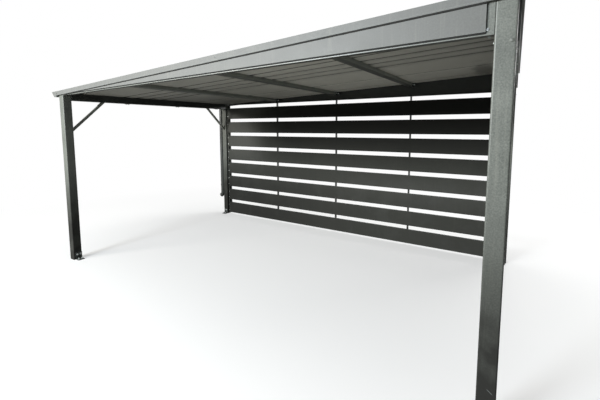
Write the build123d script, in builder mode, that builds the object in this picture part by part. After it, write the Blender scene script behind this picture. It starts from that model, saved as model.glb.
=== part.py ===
"""Open steel carport: one sloping roof on four posts, boards along the back.

Built from one photograph.  Millimetres, +Z up.  The long open side faces -Y,
the roof falls towards -X, where the gutter hangs.  The origin is on the floor,
below the middle of the roof's outline.
"""
from build123d import *
from math import atan, cos, sin
import os

os.makedirs("parts", exist_ok=True)

# Roof outline seen from above
roof_length = 5000
roof_depth = 3000
trim_face = 22           # edge trim's face stands this far out of the posts' faces
trim_hem = 3             # and its folded drip edge this much further
trim_out = trim_face + trim_hem
gutter_out = 125         # gutter stands this far out of the left posts

# Frame of the four posts, measured over their outer faces
left = -roof_length / 2 + gutter_out
right = roof_length / 2 - trim_out
front = -roof_depth / 2 + trim_out
back = roof_depth / 2 - trim_out

# Posts: rolled square tube
post = 100
post_wall = 4
post_corner = 9
inner_left = left + post
inner_right = right - post
inner_front = front + post
inner_back = back - post

# Roof plane: the underside of the roof sheets
roof_fall = 0.048        # rise per length, towards +X
eaves = 2149             # height of that underside over the left posts' outer faces
fall_angle = atan(roof_fall)

# Beams: folded channels with the web outside
beam_wide = 50
beam_wall = 4
beam_over = 26           # the channels' top edge stands above the sheets' underside
front_low = eaves - 28   # underside of the front beam at its left end
front_rise = 0.0145      # and how it rises to the right
back_low = eaves - 9     # level underside of the back beam
left_low = eaves - 84
right_low = eaves + 6

# Rafters: rectangular tube laid flat
rafter_wide = 80
rafter_deep = 40
rafter_wall = 3
rafter_count = 3

# Knee braces in the two short sides
brace_run = 420
brace_rise = 385
brace_tube = 30
brace_wall = 3
lug_wide = 12            # flat lug welded on the brace's upper end
lug_high = 48
lug_thick = 4

# Facing sheets in front of the beams, and the trim along the roof's edge
facing_thick = 12
facing_wall = 2
facing_up = 16           # its lower edge is this far above the beam's
facing_short = 39        # it stops short of the posts
trim_high = 52
trim_wall = 2
trim_in = 45             # top flange, measured inwards from the posts' outer faces
hem_high = 9
return_in = trim_face - facing_thick

# Roof sheets with low ribs that run down the slope
sheet = 1.5
rib_high = 18
rib_foot = 62
rib_crown = 26
sheet_drip = 60          # the sheets reach out over the gutter
lap_share = 0.485        # places across the roof as shares of the posts' depth
front_rib_shares = (0.07, 0.275, 0.342, 0.41)
back_rib_shares = (0.725, 0.93)

# Wall of boards at the back
board_count = 8
board_gap = 59.6
board_thick = 30
board_wall = 2
board_lip = 14
wall_low = 23
upright_wide = 20
upright_deep = 30
upright_wall = 2
upright_aside = 18       # from the rafter's middle
wall_depth = board_thick + upright_deep
edge_wall = 3
edge_front = 28
edge_back = 58
fit_gap = 0.3

# Feet: angle brackets with anchor holes
foot_leg = 70
foot_rise = 90
foot_wide = 76
foot_wall = 6
foot_hole = 6.5
foot_spacing = 40
foot_in = 60             # middle of the front feet, from the posts' front faces

# Gutter, brackets and downpipe at the low end
gutter_low = eaves - 42
gutter_floor = 62
gutter_wall = 2
gutter_gap = 6
bracket_count = 3
bracket_share = 0.304    # spacing as a share of the posts' depth
bracket_wide = 60
bracket_wall = 4
bracket_foot = 28
outlet_radius = 20
pipe_radius = 40
pipe_wall = 2
pipe_x = left - 60
pipe_y = back - 55
outlet_x = left - 44
pipe_end = 345
shoe_bend = 70
shoe_turn = 65
shoe_reach = 8
clip_z = 550
clip_high = 25
clip_wall = 3


def roof_z(x):
    """Height of the roof sheets' underside at this x."""
    return eaves + roof_fall * (x - left)


def front_z(x):
    """Height of the front beam's underside at this x."""
    return front_low + front_rise * (x - inner_left)


roof_x = (cos(fall_angle), 0, sin(fall_angle))
roof_up = (-sin(fall_angle), 0, cos(fall_angle))


def save(part, name):
    part.label = name
    export_step(part, f"parts/{name}.step")


def upright_tube(x, y, z0, z1, side, wall, corner):
    """Square tube that stands on z0, centred at x, y."""
    with BuildPart() as tube:
        with BuildSketch(Plane.XY.offset(z0)):
            with Locations((x, y)):
                RectangleRounded(side, side, corner)
                RectangleRounded(side - 2 * wall, side - 2 * wall, corner - wall, mode=Mode.SUBTRACT)
        extrude(amount=z1 - z0)
    return tube.part


def foot_bracket():
    """Angle bracket whose upright leg stands on x = 0 and whose floor leg points to +X."""
    with BuildPart() as foot:
        with BuildSketch(Plane.XZ):
            with BuildLine():
                Polyline(
                    (0, 0),
                    (foot_leg, 0),
                    (foot_leg, foot_wall),
                    (foot_wall, foot_wall),
                    (foot_wall, foot_rise),
                    (0, foot_rise),
                    close=True,
                )
            make_face()
        extrude(amount=foot_wide / 2, both=True)
        with BuildSketch(Plane.XY):
            with Locations((foot_leg * 0.6, 0)):
                with GridLocations(0, foot_spacing, 1, 2):
                    Circle(foot_hole)
        extrude(amount=foot_wall, mode=Mode.SUBTRACT)
        with BuildSketch(Plane.YZ):
            with Locations((0, foot_rise * 0.72)):
                with GridLocations(foot_spacing, 0, 2, 1):
                    Circle(foot_hole)
        extrude(amount=foot_wall, mode=Mode.SUBTRACT)
    return foot.part


# Posts end just under the roof sheets, so the right-hand pair is taller
for side, px in (("left", left + post / 2), ("right", right - post / 2)):
    top = roof_z(px - post / 2) - 1
    for place, py in (("front", front + post / 2), ("back", back - post / 2)):
        column = upright_tube(px, py, 0, top, post, post_wall, post_corner)
        save(column, f"post_{place}_{side}")

# Front feet point along the open side; back feet point forwards, clear of the wall
save(Pos(inner_left, front + foot_in, 0) * foot_bracket(), "foot_front_left")
save(Pos(inner_right, front + foot_in, 0) * Rot(0, 0, 180) * foot_bracket(), "foot_front_right")
save(Pos(left + post / 2, inner_back, 0) * Rot(0, 0, -90) * foot_bracket(), "foot_back_left")
save(Pos(right - post / 2, inner_back, 0) * Rot(0, 0, -90) * foot_bracket(), "foot_back_right")

# Front beam: the web tapers because the roof rises faster than its lower edge
with BuildPart() as front_beam:
    with BuildSketch(Plane.XZ.offset(-(front + beam_wide))):
        with BuildLine():
            Polyline(
                (inner_left, front_z(inner_left)),
                (inner_right, front_z(inner_right)),
                (inner_right, roof_z(inner_right) + beam_over),
                (inner_left, roof_z(inner_left) + beam_over),
                close=True,
            )
        make_face()
    extrude(amount=beam_wide)
    with BuildSketch(Plane.XZ.offset(-(front + beam_wide))):
        with BuildLine():
            Polyline(
                (inner_left, front_z(inner_left) + beam_wall),
                (inner_right, front_z(inner_right) + beam_wall),
                (inner_right, roof_z(inner_right) + beam_over - beam_wall),
                (inner_left, roof_z(inner_left) + beam_over - beam_wall),
                close=True,
            )
        make_face()
    extrude(amount=beam_wide - beam_wall, mode=Mode.SUBTRACT)
save(front_beam.part, "front_beam")

# Back beam: level below, so that it closes the wall above the topmost gap
with BuildPart() as back_beam:
    with BuildSketch(Plane.XZ.offset(-back)):
        with BuildLine():
            Polyline(
                (inner_left, back_low),
                (inner_right, back_low),
                (inner_right, roof_z(inner_right) + beam_over),
                (inner_left, roof_z(inner_left) + beam_over),
                close=True,
            )
        make_face()
    extrude(amount=beam_wide)
    with BuildSketch(Plane.XZ.offset(-(back - beam_wall))):
        with BuildLine():
            Polyline(
                (inner_left, back_low + beam_wall),
                (inner_right, back_low + beam_wall),
                (inner_right, roof_z(inner_right) + beam_over - beam_wall),
                (inner_left, roof_z(inner_left) + beam_over - beam_wall),
                close=True,
            )
        make_face()
    extrude(amount=beam_wide - beam_wall, mode=Mode.SUBTRACT)
save(back_beam.part, "back_beam")

# Left beam: closed tube whose top follows the roof, between the two left posts
with BuildPart() as left_beam:
    with BuildSketch(Plane.XZ.offset(-inner_back)):
        with BuildLine():
            Polyline(
                (left, left_low),
                (inner_left, left_low),
                (inner_left, roof_z(inner_left)),
                (left, roof_z(left)),
                close=True,
            )
        make_face()
        offset(amount=-beam_wall, mode=Mode.SUBTRACT)
    extrude(amount=inner_back - inner_front)
save(left_beam.part, "left_beam")

# Right beam: deep channel with its web outside
with BuildPart() as right_beam:
    with BuildSketch(Plane.XZ.offset(-inner_back)):
        with BuildLine():
            Polyline(
                (right - beam_wide, right_low),
                (right, right_low),
                (right, roof_z(right) + beam_over),
                (right - beam_wide, roof_z(right - beam_wide) + beam_over),
                (right - beam_wide, roof_z(right - beam_wide) + beam_over - beam_wall),
                (right - beam_wall, roof_z(right - beam_wall) + beam_over - beam_wall),
                (right - beam_wall, right_low + beam_wall),
                (right - beam_wide, right_low + beam_wall),
                close=True,
            )
        make_face()
    extrude(amount=inner_back - inner_front)
save(right_beam.part, "right_beam")

# Rafters: tubes laid flat, tilted with the roof, between the two webs
bay = (inner_right - inner_left) / (rafter_count + 1)
for number in range(1, rafter_count + 1):
    rx = inner_left + number * bay
    seat = Plane(origin=(rx, back - beam_wall, roof_z(rx)), x_dir=roof_x, z_dir=(0, -1, 0))
    with BuildPart() as rafter:
        with BuildSketch(seat):
            with Locations((0, -rafter_deep / 2)):
                RectangleRounded(rafter_wide, rafter_deep, 5)
                RectangleRounded(
                    rafter_wide - 2 * rafter_wall, rafter_deep - 2 * rafter_wall, 2, mode=Mode.SUBTRACT
                )
        extrude(amount=back - front - 2 * beam_wall)
    save(rafter.part, f"rafter_{number}")


def knee_brace(x, y_face, way, z_beam):
    """Square tube from a post's face up to the beam's underside, with a flat lug at its upper end."""
    slope = (brace_run**2 + brace_rise**2) ** 0.5
    low_half = brace_tube / 2 * slope / brace_run
    top_half = brace_tube / 2 * slope / brace_rise
    low_inner = (brace_tube / 2 - brace_wall) * slope / brace_run
    top_inner = (brace_tube / 2 - brace_wall) * slope / brace_rise
    lug_shift = lug_high * brace_run / brace_rise
    with BuildPart() as knee:
        with BuildSketch(Plane.YZ.offset(x - brace_tube / 2)):
            with BuildLine():
                Polyline(
                    (y_face, z_beam - brace_rise - low_half),
                    (y_face, z_beam - brace_rise + low_half),
                    (y_face + way * (brace_run - top_half), z_beam),
                    (y_face + way * (brace_run + top_half), z_beam),
                    close=True,
                )
            make_face()
        extrude(amount=brace_tube)
        with BuildSketch(Plane.YZ.offset(x - brace_tube / 2 + brace_wall)):
            with BuildLine():
                Polyline(
                    (y_face, z_beam - brace_rise - low_inner),
                    (y_face, z_beam - brace_rise + low_inner),
                    (y_face + way * (brace_run - top_inner), z_beam),
                    (y_face + way * (brace_run + top_inner), z_beam),
                    close=True,
                )
            make_face()
        extrude(amount=brace_tube - 2 * brace_wall, mode=Mode.SUBTRACT)
        with BuildSketch(Plane.YZ.offset(x - lug_thick / 2)):
            with BuildLine():
                Polyline(
                    (y_face + way * (brace_run - top_half + 1), z_beam),
                    (y_face + way * (brace_run - top_half - lug_wide), z_beam),
                    (y_face + way * (brace_run - top_half - lug_wide - lug_shift), z_beam - lug_high),
                    (y_face + way * (brace_run - top_half + 1 - lug_shift), z_beam - lug_high),
                    close=True,
                )
            make_face()
        extrude(amount=lug_thick)
    return knee.part


for side, bx, low in (("left", left + post / 2, left_low), ("right", right - beam_wide / 2, right_low)):
    save(knee_brace(bx, inner_front, 1, low), f"brace_{side}_front")
    save(knee_brace(bx, inner_back, -1, low), f"brace_{side}_back")

# Front facing: folded cassette on the beam's web, short of both posts
with BuildPart() as front_facing:
    facing_left = inner_left + facing_short
    facing_right = inner_right - facing_short
    with BuildSketch(Plane.XZ.offset(-front)):
        with BuildLine():
            Polyline(
                (facing_left, front_z(facing_left) + facing_up),
                (facing_right, front_z(facing_right) + facing_up),
                (facing_right, roof_z(facing_right) + beam_over),
                (facing_left, roof_z(facing_left) + beam_over),
                close=True,
            )
        make_face()
    extrude(amount=facing_thick)
    with BuildSketch(Plane.XZ.offset(-front)):
        with BuildLine():
            Polyline(
                (facing_left + facing_wall, front_z(facing_left) + facing_up + facing_wall),
                (facing_right - facing_wall, front_z(facing_right) + facing_up + facing_wall),
                (facing_right - facing_wall, roof_z(facing_right) + beam_over - facing_wall),
                (facing_left + facing_wall, roof_z(facing_left) + beam_over - facing_wall),
                close=True,
            )
        make_face()
    extrude(amount=facing_thick - facing_wall, mode=Mode.SUBTRACT)
save(front_facing.part, "front_facing")

# Right facing: the same cassette on the right beam
with BuildPart() as right_facing:
    side_front = inner_front + facing_short
    side_back = inner_back - facing_short
    side_low = right_low + facing_up
    side_top = roof_z(right) + beam_over
    with BuildSketch(Plane.YZ.offset(right)):
        with Locations(((side_front + side_back) / 2, (side_low + side_top) / 2)):
            Rectangle(side_back - side_front, side_top - side_low)
    extrude(amount=facing_thick)
    with BuildSketch(Plane.YZ.offset(right)):
        with Locations(((side_front + side_back) / 2, (side_low + side_top) / 2)):
            Rectangle(side_back - side_front - 2 * facing_wall, side_top - side_low - 2 * facing_wall)
    extrude(amount=facing_thick - facing_wall, mode=Mode.SUBTRACT)
save(right_facing.part, "right_facing")


# The edge trims meet at mitred corners over the right-hand posts
trim_left = left - gutter_gap + fit_gap
trim_right = right + trim_out
front_mitre = Plane(origin=(trim_right, front - trim_out, 0), z_dir=(1, 1, 0))
back_mitre = Plane(origin=(trim_right, back + trim_out, 0), z_dir=(1, -1, 0))


def long_trim(y_face, way, gap, mitre):
    """Folded trim that falls with the roof; way -1 is the front, +1 the back, gap its lower return."""
    start = Plane(origin=(left, y_face, roof_z(left) + beam_over), x_dir=(0, 1, 0), z_dir=roof_x)
    with BuildPart() as trim:
        with BuildSketch(start):
            with BuildLine():
                Polyline(
                    (-way * trim_in, 0),
                    (-way * trim_in, trim_wall),
                    (way * trim_face, trim_wall),
                    (way * trim_face, trim_wall - trim_high + hem_high),
                    (way * trim_out, trim_wall - trim_high + hem_high),
                    (way * trim_out, trim_wall - trim_high),
                    (way * (trim_face - gap), trim_wall - trim_high),
                    (way * (trim_face - gap), 2 * trim_wall - trim_high),
                    (way * (trim_face - trim_wall), 2 * trim_wall - trim_high),
                    (way * (trim_face - trim_wall), 0),
                    close=True,
                )
            make_face()
        extrude(amount=roof_length, both=True)
        split(bisect_by=Plane.YZ.offset(trim_left), keep=Keep.TOP)
        split(bisect_by=mitre, keep=Keep.BOTTOM)
    return trim.part


save(long_trim(front, -1, return_in, front_mitre), "front_edge_trim")
save(long_trim(back, 1, trim_face, back_mitre), "back_edge_trim")

with BuildPart() as right_edge_trim:
    with BuildSketch(Plane.XZ):
        with BuildLine():
            edge_x = right + trim_face
            low_edge = roof_z(edge_x) + beam_over + trim_wall - trim_high
            Polyline(
                (right - trim_in, roof_z(right - trim_in) + beam_over),
                (right - trim_in, roof_z(right - trim_in) + beam_over + trim_wall),
                (edge_x, roof_z(edge_x) + beam_over + trim_wall),
                (edge_x, low_edge + hem_high),
                (trim_right, low_edge + hem_high),
                (trim_right, low_edge),
                (edge_x - return_in, low_edge),
                (edge_x - return_in, low_edge + trim_wall),
                (edge_x - trim_wall, low_edge + trim_wall),
                (edge_x - trim_wall, roof_z(edge_x - trim_wall) + beam_over),
                close=True,
            )
        make_face()
    extrude(amount=roof_depth, both=True)
    split(bisect_by=front_mitre, keep=Keep.TOP)
    split(bisect_by=back_mitre, keep=Keep.TOP)
save(right_edge_trim.part, "right_edge_trim")


def rib_points(ribs, y0, y1, base):
    """Points of a sheet's surface from y0 to y1 with a rib at each place."""
    points = [(y0, base)]
    for y in ribs:
        points += [
            (y - rib_foot / 2, base),
            (y - rib_crown / 2, base + rib_high),
            (y + rib_crown / 2, base + rib_high),
            (y + rib_foot / 2, base),
        ]
    return points + [(y1, base)]


lap_y = front + lap_share * (back - front)
front_ribs = [front + share * (back - front) for share in front_rib_shares]
back_ribs = [front + share * (back - front) for share in back_rib_shares]
sheet_start = Plane(
    origin=(left - sheet_drip, 0, roof_z(left - sheet_drip)), x_dir=(0, 1, 0), z_dir=roof_x
)
sheet_long = (right - beam_wall - left + sheet_drip - 2) / cos(fall_angle)

# Front sheet ends on the crown of the lapped rib
lower = rib_points(front_ribs, front + beam_wall + 2, lap_y - rib_foot / 2, 0)
lower += [(lap_y - rib_crown / 2, rib_high), (lap_y + rib_crown / 2, rib_high)]
with BuildPart() as roof_sheet_front:
    with BuildSketch(sheet_start):
        with BuildLine():
            Polyline(lower + [(y, z + sheet) for y, z in reversed(lower)], close=True)
        make_face()
    extrude(amount=sheet_long)
save(roof_sheet_front.part, "roof_sheet_front")

# Back sheet lies over that crown and comes down behind it
lower = [
    (lap_y - rib_crown / 2, rib_high + sheet),
    (lap_y + rib_crown / 2 + sheet, rib_high + sheet),
    (lap_y + rib_foot / 2 + 2 * sheet, 0),
]
lower += rib_points(back_ribs, lap_y + rib_foot / 2 + 20, back - beam_wall - 2, 0)
with BuildPart() as roof_sheet_back:
    with BuildSketch(sheet_start):
        with BuildLine():
            Polyline(lower + [(y, z + sheet) for y, z in reversed(lower)], close=True)
        make_face()
    extrude(amount=sheet_long)
save(roof_sheet_back.part, "roof_sheet_back")

# Boards: folded channels, open to the back, between the two edge channels
board_pitch = (back_low - wall_low) / board_count
board_front = back - wall_depth
board_back = board_front + board_thick
board_left = inner_left + edge_wall + 2
board_right = inner_right - edge_wall - 2
for number in range(1, board_count + 1):
    z0 = wall_low + (number - 1) * board_pitch
    z1 = z0 + board_pitch - board_gap
    with BuildPart() as board:
        with BuildSketch(Plane.YZ.offset(board_left)):
            with BuildLine():
                Polyline(
                    (board_front, z0),
                    (board_back, z0),
                    (board_back, z0 + board_lip),
                    (board_back - board_wall, z0 + board_lip),
                    (board_back - board_wall, z0 + board_wall),
                    (board_front + board_wall, z0 + board_wall),
                    (board_front + board_wall, z1 - board_wall),
                    (board_back - board_wall, z1 - board_wall),
                    (board_back - board_wall, z1 - board_lip),
                    (board_back, z1 - board_lip),
                    (board_back, z1),
                    (board_front, z1),
                    close=True,
                )
            make_face()
        extrude(amount=board_right - board_left)
    save(board.part, f"wall_board_{number}")

# Uprights: flat tubes behind the boards, one beside the middle of each rafter
for number in range(1, rafter_count + 1):
    ux = inner_left + number * bay + upright_aside
    with BuildPart() as upright:
        with BuildSketch(Plane.XY.offset(wall_low)):
            with Locations((ux, (board_back + back) / 2)):
                Rectangle(upright_wide, upright_deep)
                Rectangle(upright_wide - 2 * upright_wall, upright_deep - 2 * upright_wall, mode=Mode.SUBTRACT)
        extrude(amount=back_low - wall_low)
    save(upright.part, f"wall_upright_{number}")

# Edge channels on the back posts hold the boards' ends
for side, face, way in (("left", inner_left, 1), ("right", inner_right, -1)):
    with BuildPart() as edge:
        with BuildSketch(Plane.XY.offset(wall_low)):
            with BuildLine():
                Polyline(
                    (face, board_front - edge_wall),
                    (face + way * edge_front, board_front - edge_wall),
                    (face + way * edge_front, board_front),
                    (face + way * edge_wall, board_front),
                    (face + way * edge_wall, board_back),
                    (face + way * edge_back, board_back),
                    (face + way * edge_back, board_back + edge_wall),
                    (face, board_back + edge_wall),
                    close=True,
                )
            make_face()
        extrude(amount=back_low - wall_low - fit_gap)
    save(edge.part, f"wall_edge_{side}")

# Gutter: a trough of five plates, its outer side slanted, its ends closed
gutter_back = left - gutter_gap
gutter_front = gutter_back - gutter_floor
gutter_lip = roof_z(left - gutter_out) + beam_over + trim_wall
gutter_half = roof_depth / 2 - gutter_wall
lean = (gutter_front - left + gutter_out) / (gutter_lip - gutter_low)
slant_wide = gutter_wall * (1 + lean**2) ** 0.5

with BuildPart() as gutter_floor_plate:
    with BuildSketch(Plane.XY.offset(gutter_low)):
        with Locations(((gutter_back + gutter_front) / 2, 0)):
            Rectangle(gutter_floor, 2 * gutter_half)
        with Locations((outlet_x, pipe_y)):
            Circle(outlet_radius, mode=Mode.SUBTRACT)
    extrude(amount=gutter_wall)
save(gutter_floor_plate.part, "gutter_floor")

with BuildPart() as gutter_inner_wall:
    with BuildSketch(Plane.XY.offset(gutter_low + gutter_wall)):
        with Locations((gutter_back - gutter_wall / 2, 0)):
            Rectangle(gutter_wall, 2 * gutter_half)
    extrude(amount=roof_z(gutter_back) - fit_gap - gutter_low - gutter_wall)
save(gutter_inner_wall.part, "gutter_inner_wall")

with BuildPart() as gutter_outer_wall:
    with BuildSketch(Plane.XZ):
        with BuildLine():
            rise = gutter_lip - gutter_low - gutter_wall
            Polyline(
                (gutter_front - lean * gutter_wall, gutter_low + gutter_wall),
                (gutter_front - lean * gutter_wall + slant_wide, gutter_low + gutter_wall),
                (gutter_front - lean * (gutter_wall + rise) + slant_wide, gutter_low + gutter_wall + rise),
                (gutter_front - lean * (gutter_wall + rise), gutter_low + gutter_wall + rise),
                close=True,
            )
        make_face()
    extrude(amount=gutter_half, both=True)
save(gutter_outer_wall.part, "gutter_outer_wall")

for name, y_end in (("front", -roof_depth / 2), ("back", roof_depth / 2 - gutter_wall)):
    with BuildPart() as gutter_end:
        with BuildSketch(Plane.XZ.offset(-y_end)):
            with BuildLine():
                Polyline(
                    (gutter_back, roof_z(gutter_back) + beam_over + trim_wall),
                    (gutter_back, gutter_low),
                    (gutter_front, gutter_low),
                    (left - gutter_out, gutter_lip),
                    close=True,
                )
            make_face()
        extrude(amount=-gutter_wall)
    save(gutter_end.part, f"gutter_end_{name}")

# Gutter brackets: gussets between the left beam and the trough, each with a foot under the beam
for number in range(1, bracket_count + 1):
    by = front + number * bracket_share * (back - front)
    with BuildPart() as bracket:
        with BuildSketch(Plane.XZ.offset(-(by + bracket_wide / 2))):
            with BuildLine():
                Polyline(
                    (left, gutter_low),
                    (left, left_low),
                    (left + bracket_foot, left_low),
                    (left + bracket_foot, left_low - bracket_wall),
                    (left - bracket_wall, left_low - bracket_wall),
                    (gutter_front, gutter_low - bracket_wall),
                    (gutter_front, gutter_low),
                    close=True,
                )
            make_face()
        extrude(amount=bracket_wide)
    save(bracket.part, f"gutter_bracket_{number}")

# Downpipe: round tube with a bent shoe, its upper end cut to the trough's underside
with BuildPart() as downpipe:
    with BuildLine(Plane.XZ.offset(-pipe_y)) as route:
        Line((pipe_x, gutter_lip), (pipe_x, pipe_end + shoe_bend))
        bend = JernArc(
            start=(pipe_x, pipe_end + shoe_bend), tangent=(0, -1), radius=shoe_bend, arc_size=-shoe_turn
        )
        PolarLine(bend @ 1, shoe_reach, angle=-90 - shoe_turn)
    with BuildSketch(Plane(origin=(pipe_x, pipe_y, gutter_lip), z_dir=(0, 0, -1))):
        Circle(pipe_radius)
        Circle(pipe_radius - pipe_wall, mode=Mode.SUBTRACT)
    sweep()
    with BuildSketch(Plane.XZ.offset(-(pipe_y + 2 * pipe_radius))):
        with BuildLine():
            Polyline(
                (left + pipe_radius, gutter_low),
                (gutter_front, gutter_low),
                (gutter_front - lean * (gutter_lip - gutter_low + 60), gutter_lip + 60),
                (left + pipe_radius, gutter_lip + 60),
                close=True,
            )
        make_face()
    extrude(amount=4 * pipe_radius, mode=Mode.SUBTRACT)
save(downpipe.part, "downpipe")

# Clip round the downpipe, fixed to the post's outer face
with BuildPart() as pipe_clip:
    with BuildSketch(Plane.XY.offset(clip_z)):
        with Locations((pipe_x, pipe_y)):
            Circle(pipe_radius + clip_wall)
        with Locations(((pipe_x + left) / 2, pipe_y)):
            Rectangle(left - pipe_x, 2 * clip_wall)
        with Locations((pipe_x, pipe_y)):
            Circle(pipe_radius, mode=Mode.SUBTRACT)
    extrude(amount=clip_high)
save(pipe_clip.part, "pipe_clip")
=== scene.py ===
# %% [markdown]
# # Dressing a steel carport
# The frame already holds every tube, sheet and board of the carport at its real size and place.
# What is still missing is what the eye reads as steel: coatings, dust, water marks, worn edges,
# and the bolts and screws that hold the pieces together. This lesson adds those, step by step.

# %% Load the frame
import random
from math import cos, pi, radians, sin
from types import SimpleNamespace

import bmesh
import bpy
from mathutils import Matrix, Vector


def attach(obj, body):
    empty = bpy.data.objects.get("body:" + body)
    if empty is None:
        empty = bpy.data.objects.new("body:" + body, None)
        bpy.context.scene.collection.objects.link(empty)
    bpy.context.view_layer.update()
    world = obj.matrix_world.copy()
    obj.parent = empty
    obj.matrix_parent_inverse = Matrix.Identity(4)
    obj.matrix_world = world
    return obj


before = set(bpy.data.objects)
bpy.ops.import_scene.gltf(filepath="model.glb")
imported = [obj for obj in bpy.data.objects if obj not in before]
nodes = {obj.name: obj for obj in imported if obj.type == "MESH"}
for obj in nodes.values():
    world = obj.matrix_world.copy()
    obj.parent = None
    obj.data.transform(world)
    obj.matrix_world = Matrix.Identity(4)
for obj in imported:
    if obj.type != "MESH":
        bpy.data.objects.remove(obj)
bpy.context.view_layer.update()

# %% [markdown]
# ## The camera
# A shop picture of a carport is taken at eye height, close to one post, so that the open side runs
# away from the viewer. The straight edges of the real one were lined up with a pinhole camera, and
# these numbers are its place and turn. The picture is a crop of a larger one, so the lens is shifted
# a little, as on a view camera: turning the camera instead would change how the posts lean.

# %% Camera
IMAGE_WIDE = 600        # pixels
FOCAL_PIXELS = 341.4    # a wide lens, about 20 mm on full frame
EYE = Vector((2.490, -3.538, 1.724))
TURN_LEFT, LOOK_DOWN, ROLL = radians(32.724), radians(5.698), radians(-0.218)

lens = bpy.data.cameras.new("eye_height_camera")
lens.sensor_width = 36
lens.lens = FOCAL_PIXELS * lens.sensor_width / IMAGE_WIDE
lens.shift_x = 0.0079
lens.shift_y = -0.0656
camera = bpy.data.objects.new("eye_height_camera", lens)
camera.matrix_world = (
    Matrix.Translation(EYE)
    @ Matrix.Rotation(TURN_LEFT, 4, "Z")
    @ Matrix.Rotation(pi / 2 - LOOK_DOWN, 4, "X")
    @ Matrix.Rotation(ROLL, 4, "Z")
)
bpy.context.scene.collection.objects.link(camera)
bpy.context.scene.camera = camera
bpy.context.scene.view_settings.view_transform = "Standard"
print("lens in mm:", round(lens.lens, 2))

# %% [markdown]
# ## Two small tools
# Colours are written as the sRGB hex codes that a colour picker shows, and turned into the linear
# values that light works in. Every material is a tree of nodes, and one function adds a node, sets
# it up and links it, so that a material reads from top to bottom like a recipe.


# %% Colours
def linear(hex_code):
    """sRGB hex such as '8a8d88' as linear red, green, blue, alpha."""
    parts = [int(hex_code[i : i + 2], 16) / 255 for i in (0, 2, 4)]
    return [p / 12.92 if p <= 0.04045 else ((p + 0.055) / 1.055) ** 2.4 for p in parts] + [1.0]


print("middle grey in linear light:", round(linear("808080")[0], 3))


# %% Nodes
def add(tree, kind, sockets=None, **settings):
    """Adds a node, sets its settings, and gives its sockets values or links."""
    made = tree.nodes.new("ShaderNode" + kind)
    for key, value in settings.items():
        setattr(made, key, value)
    for key, value in (sockets or {}).items():
        # A node stands for its first output, so that short recipes stay short
        source = value.outputs[0] if isinstance(value, bpy.types.Node) else value
        if isinstance(source, bpy.types.NodeSocket):
            tree.links.new(source, made.inputs[key])
        else:
            made.inputs[key].default_value = source
    return made


def new_material(name):
    """An empty material and its tree."""
    material = bpy.data.materials.new(name)
    material.use_nodes = True
    material.node_tree.nodes.clear()
    return material, material.node_tree


print("tools: linear, add, new_material")

# %% [markdown]
# ## The floor
# A studio cuts a carport out on white with a sheet of paper that turns white a few metres away and
# still catches the shadow. Real ground is far darker than paper, which leaves the boards and the
# roof's underside dark. So the paper that the camera sees is pale, and the paper that lights the
# carport is grey: Light Path's Is Camera Ray tells the two apart and adds no light to the object.

# %% Floor
FLOOR_REACH = 60.0               # metres to each side, far past the picture
FLOOR_DROP = 0.0015              # just below the feet, so that no two faces share a plane
FLOOR_PAPER = "f4f4f2"           # the paper as it is seen
FLOOR_BOUNCE = "9c9c98"          # the ground as the carport gets its light back
FLOOR_WHITE = 0.45               # share of plain white in the middle of the floor
FADE_START, FADE_END = 2.4, 6.5  # metres from the middle, where that share grows to all
SMOOTH = {"interpolation_type": "SMOOTHSTEP"}


def studio_paper():
    """Pale paper to the eye, grey ground to the carport, and plain white far away."""
    material, tree = new_material("white_studio_paper")
    place = add(tree, "TexCoord").outputs["Object"]
    away = add(tree, "VectorMath", {0: place}, operation="LENGTH").outputs["Value"]
    fade = {"Value": away, "From Min": FADE_START, "From Max": FADE_END, "To Min": FLOOR_WHITE}
    fade = add(tree, "MapRange", fade, **SMOOTH)
    camera_ray = add(tree, "LightPath").outputs["Is Camera Ray"]
    paper = add(tree, "BsdfDiffuse", {"Color": linear(FLOOR_PAPER)})
    ground = add(tree, "BsdfDiffuse", {"Color": linear(FLOOR_BOUNCE)})
    sheet = add(tree, "MixShader", {0: camera_ray, 1: ground, 2: paper})
    white = add(tree, "Emission", {"Color": linear("ffffff"), "Strength": 1.0})
    white_share = add(tree, "Math", {0: fade, 1: camera_ray}, operation="MULTIPLY")
    add(tree, "OutputMaterial", {"Surface": add(tree, "MixShader", {0: white_share, 1: sheet, 2: white})})
    return material


mesh = bpy.data.meshes.new("studio_floor")
corners = [(x * FLOOR_REACH, y * FLOOR_REACH, 0) for x, y in ((-1, -1), (1, -1), (1, 1), (-1, 1))]
mesh.from_pydata(corners, [], [(0, 1, 2, 3)])
mesh.materials.append(studio_paper())
floor = bpy.data.objects.new("studio_floor", mesh)
floor.location.z = -FLOOR_DROP
bpy.context.scene.collection.objects.link(floor)
print("floor is", 2 * FLOOR_REACH, "m wide and white from", FADE_END, "m")

# %% [markdown]
# ## The sky
# An overcast sky is one huge soft lamp. Most of it is hidden from a carport by its own roof, so the
# world here is weak. The camera, and rays that pass through something, see plain white instead.
# Rays that bounce off a gloss still see the weak sky. Is Glossy Ray would show them white too: tried
# out, it lifts the boards by 2 to 8 levels of 255, the roof's underside by 10 to 15 and the far end
# of the facing by 34.

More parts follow.
